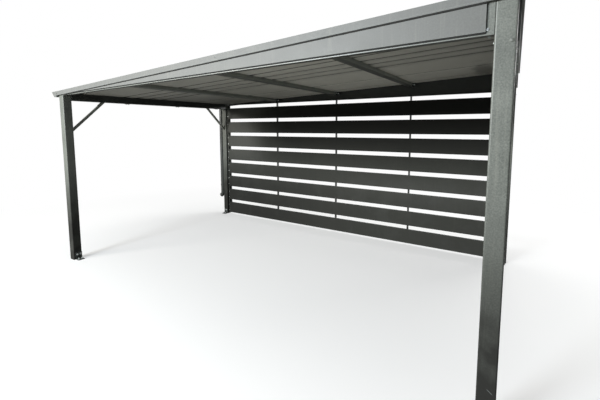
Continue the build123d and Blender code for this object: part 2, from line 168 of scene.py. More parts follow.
# %% Sky
SKY_COLOUR = "e9eef4"    # a cool white
SKY_STRENGTH = 0.16
world = bpy.data.worlds.new("soft_sky")
world.use_nodes = True
sky = world.node_tree
sky.nodes.clear()
dim = add(sky, "Background", {"Color": linear(SKY_COLOUR), "Strength": SKY_STRENGTH})
white = add(sky, "Background", {"Color": linear("ffffff"), "Strength": 1.0})
paths = add(sky, "LightPath").outputs
seen = {0: paths["Is Camera Ray"], 1: paths["Is Transmission Ray"]}
seen = add(sky, "Math", seen, operation="MAXIMUM")
add(sky, "OutputWorld", {"Surface": add(sky, "MixShader", {0: seen, 1: dim, 2: white})})
bpy.context.scene.world = world
print("sky strength:", SKY_STRENGTH)

# %% [markdown]
# ## The lamps
# One broad key lamp stands low in front on the left. The satin facing mirrors it as a soft bright
# patch, it reaches under the roof onto the left end of the wall, and the sides that look to the
# right stay dark. A smaller, bluish lamp beside it is the patch of clear sky that cools the middle
# of the facing. Two weak fills, above and behind, keep the other sides readable. Area lamps are
# used because their size sets how soft a shadow and a highlight are.


# %% Lamps
def lamp(name, place, target, size, power, tint="ffffff"):
    """A broad area lamp at a place, looking at a target, in metres and watts."""
    data = bpy.data.lights.new(name, "AREA")
    data.shape = "RECTANGLE"
    data.size, data.size_y = size
    data.energy = power
    data.color = linear(tint)[:3]
    made = bpy.data.objects.new(name, data)
    made.location = place
    made.rotation_mode = "QUATERNION"
    made.rotation_quaternion = (Vector(target) - Vector(place)).to_track_quat("-Z", "Y")
    bpy.context.scene.collection.objects.link(made)
    print("lamp:", name, power, "W")


lamp("key_front_left", (-4.2, -8.6, 3.35), (0.0, 0.0, 1.5), (5.5, 1.3), 1040, "fffdf7")
lamp("blue_sky_patch", (-1.8, -8.6, 3.9), (0.5, -1.5, 2.2), (2.0, 1.5), 560, "e7f3ff")
lamp("roof_fill", (0.5, 0.5, 8.5), (0.0, 0.0, 2.0), (7.0, 5.0), 420)
lamp("rear_fill", (4.0, 8.5, 4.5), (0.0, 0.0, 1.2), (6.0, 3.0), 600)

# %% [markdown]
# ## Coated steel
# The carport is thin steel with a baked coat. Tubes are powder-coated: polyester dust is sprayed on
# dry and melted in an oven, which leaves a fine orange peel. Sheets are coil-coated: paint is rolled
# on while the coil runs through, which leaves a flatter, satin skin.
# After years outdoors neither is one colour. An image of the marks would be tied to one size and one
# layout. Here each mark is made from what places it: how high a point is, which way its face looks,
# how close it is to a fold. Some of these marks are painted shade, made in the same way. One recipe
# then fits every node. Object coordinates are metres, as the frame's nodes all sit at the origin.

# %% Readings of a surface
CLOUD = 0.22     # metres: patches left by drying rain and by hands
SPECK = 0.009    # mottling in a patch: really 3 mm, drawn coarser so that it shows


def readings(tree):
    """Where a point is, which way its face looks, and the two noises that all marks share."""
    place = add(tree, "TexCoord").outputs["Object"]
    normal = add(tree, "NewGeometry").outputs["Normal"]
    clouds = {"Vector": place, "Scale": 1 / CLOUD, "Detail": 4.0, "Roughness": 0.55, "Distortion": 0.4}
    specks = {"Vector": place, "Scale": 1 / SPECK, "Detail": 5.0, "Roughness": 0.62}
    return SimpleNamespace(
        place=place,
        at=add(tree, "SeparateXYZ", {0: place}).outputs,
        normal=normal,
        looks=add(tree, "SeparateXYZ", {0: normal}).outputs,
        clouds=add(tree, "TexNoise", clouds),
        specks=add(tree, "TexNoise", specks),
    )


print("clouds and specks per metre:", round(1 / CLOUD, 1), round(1 / SPECK))

# %% [markdown]
# ### Mottled colour
# Sun, rain and hands leave a coat in patches a hand wide, with specks of a few millimetres in them.
# Two noises of those sizes are added up and run through a ramp of three shades of one grey.

# %% Mottled colour
CLOUD_SHARE = 0.45    # how much the clouds count beside the specks


def mottled(tree, here, dark, colour, pale, amount):
    """The coat's three shades, spread by the clouds and the specks in them."""
    both = {0: here.clouds, 1: CLOUD_SHARE, 2: here.specks}
    here.mottle = add(tree, "Math", both, operation="MULTIPLY_ADD")
    spread = {"Value": here.mottle, "From Min": 0.52, "From Max": 0.93}
    spread.update({"To Min": 0.5 - amount / 2, "To Max": 0.5 + amount / 2})
    here.tone = add(tree, "MapRange", spread)
    ramp = add(tree, "ValToRGB", {"Fac": here.tone})
    ramp.color_ramp.elements[0].color = linear(dark)
    ramp.color_ramp.elements[1].color = linear(pale)
    ramp.color_ramp.elements.new(0.5).color = linear(colour)
    return ramp


print("clouds count", CLOUD_SHARE, "of the specks")

# %% [markdown]
# ### Rain runs
# Water runs down a face in threads, carries dust along and dries as pale streaks. Noise that is
# squeezed across and drawn out downwards makes them, on upright faces only: the normal's Z tells.

# %% Rain runs
RUN_WIDE, RUN_LONG = 0.03, 0.9   # metres: one run of water down a face


def rain_runs(tree, here, coat, dust, amount):
    """Pale runs on upright faces, where rain carried dust down and dried."""
    size = (1 / RUN_WIDE, 1 / RUN_WIDE, 1 / RUN_LONG)
    drawn_out = add(tree, "Mapping", {"Vector": here.place, "Scale": size})
    runs = add(tree, "TexNoise", {"Vector": drawn_out, "Scale": 1.0, "Detail": 3.0, "Roughness": 0.7})
    runs = {"Value": runs, "From Min": 0.52, "From Max": 0.74, "To Max": amount}
    runs = add(tree, "MapRange", runs, **SMOOTH)
    level = add(tree, "Math", {0: here.looks["Z"]}, operation="ABSOLUTE")
    upright = add(tree, "MapRange", {"Value": level, "From Min": 0.5, "From Max": 0.1})
    runs = add(tree, "Math", {0: runs, 1: upright}, operation="MULTIPLY")
    return add(tree, "MixRGB", {"Fac": runs, "Color1": coat, "Color2": linear(dust)})


print("a run is", RUN_WIDE * 1000, "mm wide and drawn out", round(RUN_LONG / RUN_WIDE), "times")

# %% [markdown]
# ### Splashed soil and painted shade
# Rain that hits the ground throws damp soil up the posts and boards, where it dries to a dark film.
# The same film is also painted shade, darkening them towards the ground. It only needs a height,
# frayed by the clouds. It is kept for later, because it also dulls the gloss.

# %% Splashed soil and painted shade
# Soil and painted shade: one dark film that darkens the low parts towards the ground
SOIL_AND_SHADE = "22221f"
FILM_TOP, FILM_FULL = 1.6, 0.25          # metres above the ground
LOW_END_SHADE_LEAST, LOW_END_SHADE_MOST = 1.0, -1.9          # X along the wall, from the least painted shade to all of it


def soil_and_shade_film(tree, here, coat, amount, stronger_at_low_end):
    """Soil and painted shade: a dark film, strongest at the ground, broken up by the clouds."""
    low = {"Value": here.at["Z"], "From Min": FILM_TOP, "From Max": FILM_FULL}
    low = add(tree, "MapRange", low, **SMOOTH)
    ragged = add(tree, "Math", {0: here.clouds, 1: 0.55}, operation="ADD")
    film = add(tree, "Math", {0: low, 1: ragged}, operation="MULTIPLY")
    here.film = add(tree, "Math", {0: film, 1: amount}, operation="MULTIPLY", use_clamp=True)
    if stronger_at_low_end:
        # Along the wall the film is stronger at the low end on the left: painted shade there, weaker
        # towards the right
        towards_low_end = {"Value": here.at["X"], "From Min": LOW_END_SHADE_LEAST, "From Max": LOW_END_SHADE_MOST, "To Min": 0.42}
        towards_low_end = add(tree, "MapRange", towards_low_end, **SMOOTH)
        here.film = add(tree, "Math", {0: here.film, 1: towards_low_end}, operation="MULTIPLY")
    return add(tree, "MixRGB", {"Fac": here.film, "Color1": coat, "Color2": linear(SOIL_AND_SHADE)})


print("soil from the ground up to", FILM_TOP, "m")

# %% [markdown]
# ### Dust and soot
# Dust lies on whatever faces up. Soot and spores keep to what faces down, where no rain washes. The
# Z of the normal tells both, from either end.

# %% Dust and soot
SOOT = "24231f"


def dust_and_soot(tree, here, coat, dust, soot):
    """Pale dust on faces that look up, dark soot on faces that look down."""
    top = {"Value": here.looks["Z"], "From Min": 0.55, "From Max": 0.98, "To Max": 0.55}
    top = add(tree, "MapRange", top)
    top = add(tree, "Math", {0: top, 1: here.specks}, operation="MULTIPLY")
    coat = add(tree, "MixRGB", {"Fac": top, "Color1": coat, "Color2": linear(dust)})
    beneath = {"Value": here.looks["Z"], "From Min": -0.5, "From Max": -0.95, "To Max": soot}
    beneath = add(tree, "MapRange", beneath)
    return add(tree, "MixRGB", {"Fac": beneath, "Color1": coat, "Color2": linear(SOOT)})


print("soot in linear light:", [round(value, 3) for value in linear(SOOT)[:3]])

# %% [markdown]
# ## Painted shade on the inner face of the wall
# Under the roof the upper boards lie in shade, while the open low end gets light from the side. This
# is painted into the colour: near-black at the top, fading downwards and towards the open low end.
# It is painted only on faces that look into the carport, so that the back of the wall stays plain.

# %% Painted shade on the wall
# Painted shade: the near-black that stands for the roof's shade on the upper boards
WALL_SHADE = "0d0e0c"
WALL_SHADE_FROM, WALL_SHADE_FULL = 0.72, 1.66      # metres above the ground


def wall_painted_shade(tree, here, coat):
    """Painted shade: near-black under the roof, fading downwards and towards the open low end."""
    high = {"Value": here.at["Z"], "From Min": WALL_SHADE_FROM, "From Max": WALL_SHADE_FULL}
    high = add(tree, "MapRange", high, **SMOOTH)
    inside = {"Value": here.at["X"], "From Min": -1.9, "From Max": -0.8, "To Max": 0.93}
    inside = add(tree, "MapRange", inside, **SMOOTH)
    inner_face = add(tree, "MapRange", {"Value": here.looks["Y"], "From Min": 0.0, "From Max": -0.5})
    wall_shade = add(tree, "Math", {0: high, 1: inside}, operation="MULTIPLY")
    wall_shade = add(tree, "Math", {0: wall_shade, 1: inner_face}, operation="MULTIPLY")
    here.film = add(tree, "Math", {0: here.film, 1: wall_shade}, operation="ADD", use_clamp=True)
    return add(tree, "MixRGB", {"Fac": wall_shade, "Color1": coat, "Color2": linear(WALL_SHADE)})


print("grime from", WALL_SHADE_FROM, "m, and in full from", WALL_SHADE_FULL, "m")

# %% [markdown]
# ## A scratch
# Something hard was drawn across the front right-hand post close to the ground. A scratch cuts
# through the coat down to the pale zinc. It needs no geometry: each point is turned into the
# scratch's own frame, and there the scratch is a box, 40 mm long on X and very thin on Z.

# %% Scratch
SCRATCH_WIDE = 0.0032     # metres; really half a millimetre, drawn wider so that it shows
SCRATCH_DEEP = 1 / 6      # metres across the face, so that no other post gets it


def scratched(tree, here, coat, middle, tilt, half_long, zinc):
    """A line of bare zinc through its middle, tilted in the plane of the front faces."""
    line = add(tree, "VectorMath", {0: here.place, 1: middle}, operation="SUBTRACT")
    line = add(tree, "VectorRotate", {"Vector": line, "Axis": (0, 1, 0), "Angle": tilt})
    size = (1 / half_long, 2 / SCRATCH_DEEP, 2 / SCRATCH_WIDE)
    line = add(tree, "SeparateXYZ", {0: add(tree, "VectorMath", {0: line, 1: size}, operation="MULTIPLY")})
    away = [add(tree, "Math", {0: line.outputs[axis]}, operation="ABSOLUTE") for axis in "ZYX"]
    farthest = add(tree, "Math", {0: away[0], 1: away[1]}, operation="MAXIMUM")
    farthest = add(tree, "Math", {0: farthest, 1: away[2]}, operation="MAXIMUM")
    cut = add(tree, "MapRange", {"Value": farthest, "From Min": 1.0, "From Max": 0.6, "To Max": 0.42})
    return add(tree, "MixRGB", {"Fac": cut, "Color1": coat, "Color2": linear(zinc)})


print("scratch is", SCRATCH_WIDE * 1000, "mm wide")

# %% [markdown]
# ## The underside of the roof
# Roof sheet is coil-coated on top and gets only a thin beige-grey backing coat below. The crowded
# ribs near the front throw dark lines of shade, which are painted here into the colour. They follow
# the ribs from end to end, so their brightness can be drawn as a profile across the roof, and a second
# profile, of painted shade too, dims both ends along it. A colour ramp is a handy way to draw a
# profile, with one stop for each place.

# %% Painted shade across and along the roof
# Painted rib shade: metres from the middle of the roof, half width, brightness left
RIB_SHADE_LINES = [(-0.664, 0.04, 0.70), (-0.44, 0.07, 0.66), (-0.24, 0.06, 0.62), (-0.05, 0.11, 0.56)]
# Painted shade across the roof: the rib lines and a darker front
ACROSS_ROOF = [(-1.475, 0.8)]
for middle, half, kept in RIB_SHADE_LINES:
    ACROSS_ROOF += [(middle - half, 0.86), (middle, kept), (middle + half, 0.86)]
ACROSS_ROOF += [(0.12, 0.89), (1.475, 0.96)]
# Painted shade along the roof: darker towards both ends
ALONG_ROOF = [(-2.45, 0.55), (-0.6, 0.70), (0.3, 1.0), (1.0, 1.0), (1.9, 0.72), (2.475, 0.6)]


def painted_shade_profile(tree, coordinate, places):
    """Painted shade: a grey ramp along one coordinate, from (metres, brightness) pairs."""
    start, end = places[0][0], places[-1][0]
    share = add(tree, "MapRange", {"Value": coordinate, "From Min": start, "From Max": end})
    ramp = add(tree, "ValToRGB", {"Fac": share})
    stops = ramp.color_ramp.elements
    for metres, kept in places[1:-1]:
        stops.new((metres - start) / (end - start)).color = (kept, kept, kept, 1)
    for stop, (_, kept) in ((stops[0], places[0]), (stops[len(stops) - 1], places[-1])):
        stop.color = (kept, kept, kept, 1)
    return ramp


print("stops across and along the roof:", len(ACROSS_ROOF), len(ALONG_ROOF))

# %% [markdown]
# ### Painted shade in the hollows and the low corner
# From below a rib is a hollow, and painted shade makes it the darkest line of all. The corner where
# the low end meets the wall gets painted shade too. Both follow from where a point is: its height
# above the plane of the sheet, or how far it lies into that corner.

# %% Painted shade in the hollows and the low corner
FALL = 0.048             # the roof falls this much to the left for each metre
SHEET_AT_ZERO = 2.263    # height of the sheets' underside at X 0, the middle of the carport
HOLLOW_FROM, HOLLOW_FULL = 0.0025, 0.009   # metres above the plane of the sheet
# Painted shade for the rib hollows and for the low corner
HOLLOW_SHADE, CORNER_SHADE = "24231f", "2c2b27"


def rib_hollow_shade(tree, here, coat):
    """Painted shade: dark in the hollow of each rib, above the plane of the sheet."""
    above = add(tree, "Math", {0: here.at["X"], 1: -FALL, 2: -SHEET_AT_ZERO}, operation="MULTIPLY_ADD")
    above = add(tree, "Math", {0: above, 1: here.at["Z"]}, operation="ADD")
    hollow = {"Value": above, "From Min": HOLLOW_FROM, "From Max": HOLLOW_FULL, "To Max": 0.9}
    hollow = add(tree, "MapRange", hollow)
    return add(tree, "MixRGB", {"Fac": hollow, "Color1": coat, "Color2": linear(HOLLOW_SHADE)})


def low_corner(tree, here, coat):
    """Painted shade: darkest into the corner of the low end and the wall."""
    low_end = add(tree, "MapRange", {"Value": here.at["X"], "From Min": -0.7, "From Max": -1.9}, **SMOOTH)
    far = {"Value": here.at["Y"], "From Min": -0.7, "From Max": 0.5, "To Max": 0.62}
    far = add(tree, "MapRange", far, **SMOOTH)
    corner = add(tree, "Math", {0: low_end, 1: far}, operation="MULTIPLY")
    return add(tree, "MixRGB", {"Fac": corner, "Color1": coat, "Color2": linear(CORNER_SHADE)})


print("hollows darken from", HOLLOW_FROM * 1000, "to", HOLLOW_FULL * 1000, "mm above the sheet")

# %% [markdown]
# ### Damp stain
# In one place near the high end the sheet has stayed damp, and spores have settled. A distance from
# its middle, stretched along the ribs, gives an oval, and the clouds push its border in and out.

# %% Damp stain
DAMP = "2a2925"
STAIN_AT = (-2.16, -1.0, 0)      # shifts the stain's middle to x 2.16, y 1.0
STAIN_SIZE = (7.5, 1.9, 0)       # one over its half width and half length


def damp_stain(tree, here, coat):
    """One stain with a ragged border, which the clouds push in and out."""
    spot = add(tree, "Mapping", {"Vector": here.place, "Location": STAIN_AT, "Scale": (1, 1, 0)})
    spot = add(tree, "VectorMath", {0: spot, 1: STAIN_SIZE}, operation="MULTIPLY")
    reach = add(tree, "VectorMath", {0: spot}, operation="LENGTH").outputs["Value"]
    reach = add(tree, "Math", {0: here.clouds, 1: 1.6, 2: reach}, operation="MULTIPLY_ADD")
    damp = {"Value": reach, "From Min": 2.0, "From Max": 1.2, "To Max": 0.6}
    damp = add(tree, "MapRange", damp, **SMOOTH)
    return add(tree, "MixRGB", {"Fac": damp, "Color1": coat, "Color2": linear(DAMP)})


print("stain at x", -STAIN_AT[0], "y", -STAIN_AT[1])

# %% [markdown]
# ### Backing coat
# A sheet is one mesh with two different faces. Instead of splitting it, the recipe lays the backing
# coat, with its painted shade and its damp stain, over the outer coat wherever a face looks down.

# %% Backing coat
def backing_coat(tree, here, outer, dark, pale):
    """The thin coat below the roof, on faces that look down, over the coat of the upper side."""
    ramp = add(tree, "ValToRGB", {"Fac": here.tone})
    ramp.color_ramp.elements[0].color = linear(dark)
    ramp.color_ramp.elements[1].color = linear(pale)
    under = ramp
    # Painted shade: the rib lines across the roof and the darker ends along it
    for axis, places in (("Y", ACROSS_ROOF), ("X", ALONG_ROOF)):
        painted_shade = painted_shade_profile(tree, here.at[axis], places)
        under = {"Fac": 1.0, "Color1": under, "Color2": painted_shade}
        under = add(tree, "MixRGB", under, blend_type="MULTIPLY")
    # Painted shade in the low corner and the rib hollows, and a damp stain
    for mark in (low_corner, rib_hollow_shade, damp_stain):
        under = mark(tree, here, under)
    looks_down = add(tree, "MapRange", {"Value": here.looks["Z"], "From Min": 0.0, "From Max": -0.1})
    return add(tree, "MixRGB", {"Fac": looks_down, "Color1": outer, "Color2": under})


print("the roof gets:", [mark.__name__ for mark in (low_corner, rib_hollow_shade, damp_stain)])

# %% [markdown]
# ## Worn folds
# A coat is thinnest on a fold, and that is where handling rubs it through to the grey zinc. The Bevel
# node gives the normal of a rounded fold: where it leaves the flat one there is a fold, on any shape.

# %% Worn folds
WEAR_RADIUS = 0.0035     # metres from the fold


def worn_folds(tree, here, coat, zinc):
    """Bare zinc where the coat is rubbed thin, broken up by the specks."""
    rounded = add(tree, "Bevel", {"Radius": WEAR_RADIUS}, samples=4)
    turn = add(tree, "VectorMath", {0: rounded, 1: here.normal}, operation="DOT_PRODUCT").outputs["Value"]
    worn = add(tree, "MapRange", {"Value": turn, "From Min": 0.995, "From Max": 0.90, "To Max": 0.75})
    worn = add(tree, "Math", {0: worn, 1: here.specks}, operation="MULTIPLY", use_clamp=True)
    return add(tree, "MixRGB", {"Fac": worn, "Color1": coat, "Color2": linear(zinc)})


print("wear reaches", WEAR_RADIUS * 1000, "mm from a fold")

# %% [markdown]
# ## Relief and gloss
# Orange peel is a few hundredths of a millimetre deep, so bump is enough for it. Thin sheet also has
# long shallow waves, which only show where they bend a highlight, and they are bump as well.
# The coat hides the metal, so metallic stays at 0. Its IOR is that of polyester, 1.5, and its
# roughness is a typical value for the finish, varied a little by the mottling and raised by dirt.

# %% Relief and gloss
PEEL = 0.004             # orange peel: really 1 to 2 mm from crest to crest, coarser so that it shows
PEEL_DEEP, WAVE_DEEP = 0.0004, 0.02
WAVE = 1 / 3.1           # metres from wave to wave in a thin sheet
POLYESTER_IOR = 1.5


def baked_surface(tree, here, coat, roughness, peel, waves):
    """Orange peel, sheet waves and a gloss that the dark film dulls, over the finished colour."""
    peel_noise = {"Vector": here.place, "Scale": 1 / PEEL, "Detail": 2.0, "Roughness": 0.5}
    peel_noise = add(tree, "TexNoise", peel_noise)
    wave_noise = {"Vector": here.place, "Scale": 1 / WAVE, "Detail": 1.0, "Roughness": 0.4}
    wave_noise = add(tree, "TexNoise", wave_noise)
    relief = add(tree, "Bump", {"Height": wave_noise, "Strength": waves, "Distance": WAVE_DEEP})
    relief = {"Height": peel_noise, "Normal": relief, "Strength": peel, "Distance": PEEL_DEEP}
    relief = add(tree, "Bump", relief)
    gloss = {"Value": here.mottle, "From Min": 0.5, "From Max": 0.95}
    gloss.update({"To Min": roughness - 0.08, "To Max": roughness + 0.1})
    gloss = add(tree, "MapRange", gloss)
    gloss = add(tree, "Math", {0: gloss, 1: here.film}, operation="ADD", use_clamp=True)
    shell = {"Base Color": coat, "Roughness": gloss, "Normal": relief, "IOR": POLYESTER_IOR}
    add(tree, "OutputMaterial", {"Surface": add(tree, "BsdfPrincipled", shell)})


print("peel every", PEEL * 1000, "mm, waves every", round(WAVE, 2), "m")

# %% [markdown]
# ## The whole recipe
# The marks are laid on in the order in which the real coat gets them: its own colour, then rain, soil
# with painted shade, dust and soot, then what is special to a wall, a scratch or a roof, where the wall
# and the roof get painted shade, and the rubbed folds last, as hands keep those clean. Each finish
# only chooses the amounts.


# %% The whole recipe
def coated_steel(
    name, shades, dust, roughness, mottle=0.5, runs=0.4, splash_and_shade=0.5, peel=0.35, waves=0.0,
    zinc="9aa09f", soot=0.0, underside=None, scratch=None, on_wall=False,
):
    """Steel with a baked coat: dark, middle and pale shade, then the amount of each mark."""
    material, tree = new_material(name)
    here = readings(tree)
    coat = mottled(tree, here, *shades, mottle)
    coat = rain_runs(tree, here, coat, dust, runs)
    # Soil and painted shade, darker towards the ground
    coat = soil_and_shade_film(tree, here, coat, splash_and_shade, on_wall)
    coat = dust_and_soot(tree, here, coat, dust, soot)
    # The wall gets painted shade under the roof
    if on_wall:
        coat = wall_painted_shade(tree, here, coat)
    if scratch:
        coat = scratched(tree, here, coat, *scratch, zinc)
    if underside:
        coat = backing_coat(tree, here, coat, *underside)
    coat = worn_folds(tree, here, coat, zinc)
    baked_surface(tree, here, coat, roughness, peel, waves)
    print("finish:", name, len(tree.nodes), "nodes")
    return material


# %% [markdown]
# ## The finishes
# Each finish is named for what it is, and two copies of the tube's powder are named for the painted
# light and the painted shade that they carry. The frame tubes have a matt anthracite powder coat that
# the sun has greyed. Facings, trims and gutter are folded from satin coil-coated sheet, and the boards
# from the same sheet in a darker, duller coat. Roughness starts from typical values, 0.3 for a
# semi-gloss polyester and 0.5 for a matt one, and was then matched to the highlights on the real one.

# %% Finishes of the frame
# Powder coat on tube: matt with fine orange peel, and the only one with rain, soil and sun all round; its
# low film is soil and painted shade
powder_coat = coated_steel(
    "powder_coated_tube", ("535651", "656862", "797c75"), "8f8f85", 0.42,
    mottle=0.8, runs=0.22, splash_and_shade=0.95, peel=0.5, soot=0.6,
    scratch=((2.442, -1.475, 0.249), radians(-37), 0.02),
)
# The same powder on rafters and braces, paler: painted light, so that they read brighter in the roof's
# shade. The roof keeps sun and rain away, but they are sooty
lit_powder_coat = coated_steel(
    "powder_coat_painted_light", ("71746e", "82857f", "91948e"), "8f8f85", 0.45,
    mottle=0.6, runs=0.1, splash_and_shade=0.0, peel=0.4, soot=0.72,
)
# The same powder, darker: painted shade on the channels that close the frame, which the eye meets only in
# deep shade
shaded_powder_coat = coated_steel(
    "powder_coat_painted_shade", ("1e211e", "262926", "333632"), "4b4b45", 0.45,
    mottle=0.6, runs=0.1, splash_and_shade=0.0, peel=0.4,
)
# Feet, pipe and brackets: anthracite powder of higher gloss, splashed at the ground, with painted shade
# there too
drain_coat = coated_steel(
    "powder_coated_fitting", ("2f3230", "3a3d3b", "494c49"), "6c6c64", 0.34,
    mottle=0.5, runs=0.3, splash_and_shade=0.4, peel=0.1,
)

# %% Finishes of the sheets
# Coil coat on facings and trims: satin and flat, so that it carries one broad soft highlight
coil_coat = coated_steel(
    "coil_coated_sheet", ("5a5b58", "656663", "707170"), "83837b", 0.57,
    mottle=0.6, runs=0.25, splash_and_shade=0.0, peel=0.15, waves=0.03,
)
# Coil coat on the boards: darker and duller, with soil and painted shade from below and painted shade from
# above
board_coat = coated_steel(
    "coil_coated_board", ("31322e", "3b3c37", "484943"), "56564f", 0.52,
    mottle=0.6, runs=0.15, splash_and_shade=0.95, peel=0.2, waves=0.04, on_wall=True,
)
# Coil coat on the roof: grey on top, and the thin beige-grey backing coat on the underside, with painted
# shade in it
roof_coat = coated_steel(
    "coil_coated_roof_sheet", ("535655", "5f6261", "6d706e"), "8d8c84", 0.5,
    mottle=0.7, runs=0.0, splash_and_shade=0.0, peel=0.15, waves=0.05, underside=("c4c1b7", "e0ddd3"),
)

# %% [markdown]
# ## Zinc
# Bolts and screws are hot-dip galvanised: dipped in molten zinc, which freezes into crystals some
# millimetres wide. Each crystal mirrors the light its own way, so that the surface sparkles in
# patches, and white bloom dulls it with the years. Voronoi cells are a good likeness of crystals:
# each has one random colour, which here gives one shade and one roughness to each.

# %% Hot-dip zinc
CRYSTAL = 0.006          # metres across one crystal
BLOOM = 0.03             # metres across one patch of bloom


def hot_dip_zinc():
    """Bare metal, so metallic is 1; the colour is what zinc reflects."""
    material, tree = new_material("hot_dip_zinc")
    place = add(tree, "TexCoord").outputs["Object"]
    crystals = {"Vector": place, "Scale": 1 / CRYSTAL, "Randomness": 1.0}
    crystals = add(tree, "TexVoronoi", crystals, feature="F1").outputs["Color"]
    shade = add(tree, "SeparateColor", {0: crystals}).outputs
    tint = add(tree, "ValToRGB", {"Fac": shade[0]})
    tint.color_ramp.elements[0].color = linear("b9bebf")
    tint.color_ramp.elements[1].color = linear("e2e5e4")
    bloom = {"Vector": place, "Scale": 1 / BLOOM, "Detail": 5.0, "Roughness": 0.6}
    bloom = add(tree, "TexNoise", bloom)
    dull = add(tree, "MapRange", {"Value": bloom, "From Min": 0.5, "From Max": 0.7, "To Max": 0.5})
    colour = add(tree, "MixRGB", {"Fac": dull, "Color1": tint, "Color2": linear("8b8d89")})
    rough = add(tree, "MapRange", {"Value": shade[1], "To Min": 0.28, "To Max": 0.5})
    relief = add(tree, "Bump", {"Height": bloom, "Strength": 0.3, "Distance": 0.0005})
    shell = {"Base Color": colour, "Metallic": 1.0, "Roughness": rough, "Normal": relief}
    add(tree, "OutputMaterial", {"Surface": add(tree, "BsdfPrincipled", shell)})
    print("finish:", material.name, len(tree.nodes), "nodes")
    return material


zinc = hot_dip_zinc()

# %% [markdown]
# ## Black for painted shadow
# The strip under the trim and the bead under the facing are painted shadow: black lines where the
# shade lies. Their finish is almost black, quite rough, and pitted like closed-cell foam, which the
# distance to the edge of Voronoi cells draws as bump.

# %% Black for painted shadow
SHADOW_CELL = 0.0025       # really about 1 mm, drawn coarser so that it shows


def painted_shadow_black():
    """Near-black for painted shadow, rough and pitted, not metallic and with the default IOR of about 1.5.
    """
    material, tree = new_material("black_painted_shadow")
    place = add(tree, "TexCoord").outputs["Object"]
    cells = add(tree, "TexVoronoi", {"Vector": place, "Scale": 1 / SHADOW_CELL}, feature="DISTANCE_TO_EDGE")
    cover = add(tree, "TexNoise", {"Vector": place, "Scale": 1 / 0.05, "Detail": 4.0})
    tint = add(tree, "ValToRGB", {"Fac": cover})
    tint.color_ramp.elements[0].color = linear("151514")
    tint.color_ramp.elements[1].color = linear("2b2b29")
    relief = {"Height": cells.outputs["Distance"], "Strength": 0.5, "Distance": 0.0006}
    relief = add(tree, "Bump", relief)
    shell = add(tree, "BsdfPrincipled", {"Base Color": tint, "Roughness": 0.85, "Normal": relief})
    add(tree, "OutputMaterial", {"Surface": shell})
    print("finish:", material.name, len(tree.nodes), "nodes")
    return material


# The black for painted shadow
shadow_black = painted_shadow_black()

# %% [markdown]
# ## Handing the finishes to the frame
# The real parts were coated before they were put together, so every part has one finish all round.
# The shapes of the frame's nodes stay as they are, and each one gets its finish by the start of its
# name. The longest match wins, so that gutter_bracket does not count as gutter.

# %% Finishes for the nodes
TRIMS = ["front_facing", "right_facing", "front_edge_trim", "back_edge_trim", "right_edge_trim"]
FINISHED_WITH = {
    powder_coat: ["post", "front_beam", "right_beam"],
    # Painted light: the paler copy of the powder
    lit_powder_coat: ["brace", "rafter"],
    # Painted shade: the darker copy of the powder
    shaded_powder_coat: ["back_beam", "left_beam"],
    drain_coat: ["gutter_bracket", "foot", "downpipe", "pipe_clip"],
    coil_coat: TRIMS + ["gutter"],
    board_coat: ["wall_board", "wall_upright", "wall_edge"],
    roof_coat: ["roof_sheet"],
}
FINISH = {start: finish for finish, starts in FINISHED_WITH.items() for start in starts}
kinds = {name: max((start for start in FINISH if name.startswith(start)), key=len) for name in nodes}
for name, node in nodes.items():
    node.data.materials.clear()
    node.data.materials.append(FINISH[kinds[name]])
print("nodes with a finish:", len(kinds))

# %% [markdown]
# ## Rounded folds
# Sheet is folded round a radius of about a millimetre and tube has one of a few, and that radius
# draws the thin line of light along every edge. Modifiers round the folds and leave the mesh itself
# alone: weld the seams, dissolve what is flat, then bevel every edge sharper than 40 degrees.

# %% Fold radius in metres
FOLD_RADIUS = {
    0.003: ["left_beam"],
    0.0015: ["front_beam", "right_beam", "back_beam"],
    0.0012: ["brace"],
    0.001: ["foot", "gutter_bracket"],
    0.0008: TRIMS + ["wall_board"],
}
FOLDS = {start: radius for radius, starts in FOLD_RADIUS.items() for start in starts}


def round_folds(node, radius):
    """Rounds a node's folds with modifiers."""
    node.modifiers.new("join_seams", "WELD").merge_threshold = 0.00001
    flat = node.modifiers.new("join_flat_faces", "DECIMATE")
    flat.decimate_type = "DISSOLVE"
    flat.angle_limit = radians(0.5)
    fold = node.modifiers.new("fold_radius", "BEVEL")
    fold.width = radius
    fold.segments = 2
    fold.limit_method = "ANGLE"
    fold.angle_limit = radians(40)
    fold.harden_normals = False


folded = [name for name in nodes if kinds[name] in FOLDS]
for name in folded:
    round_folds(nodes[name], FOLDS[kinds[name]])
print("nodes with rounded folds:", len(folded))

# %% [markdown]
# ## Shapes for bolts, screws and bent strips
# The frame is bolted together, the sheets are held by small screws, and the braces are welded. These
# are a few millimetres high, and they give the big plain surfaces their scale. Primitives with
# booleans could make them, but nearly every fastener is either turned, a profile spun round its
# axis, or bent, an outline drawn out along a line. So two bmesh helpers make them all, and the
# number of sides tells a round washer from a hexagon head.

# %% Turned and bent shapes
def stood_on(place, normal, spin=0.0):
    """A matrix that stands a fastener on a surface: its own +Z becomes the surface's normal."""
    turn = Vector(normal).to_track_quat("Z", "Y").to_matrix().to_4x4()
    return Matrix.Translation(place) @ turn @ Matrix.Rotation(spin, 4, "Z")


def circle(radius, sides):
    """Points round a circle, as (a, b) pairs."""
    angles = [2 * pi * k / sides for k in range(sides)]
    return [(radius * cos(angle), radius * sin(angle)) for angle in angles]


def skin(shape, rings):
    """Faces between rings of equal count, and a face on each end."""
    for low, high in zip(rings, rings[1:]):
        for k in range(len(low)):
            n = (k + 1) % len(low)
            shape.faces.new((low[k], low[n], high[n], high[k]))
    shape.faces.new(rings[0][::-1])
    shape.faces.new(rings[-1])


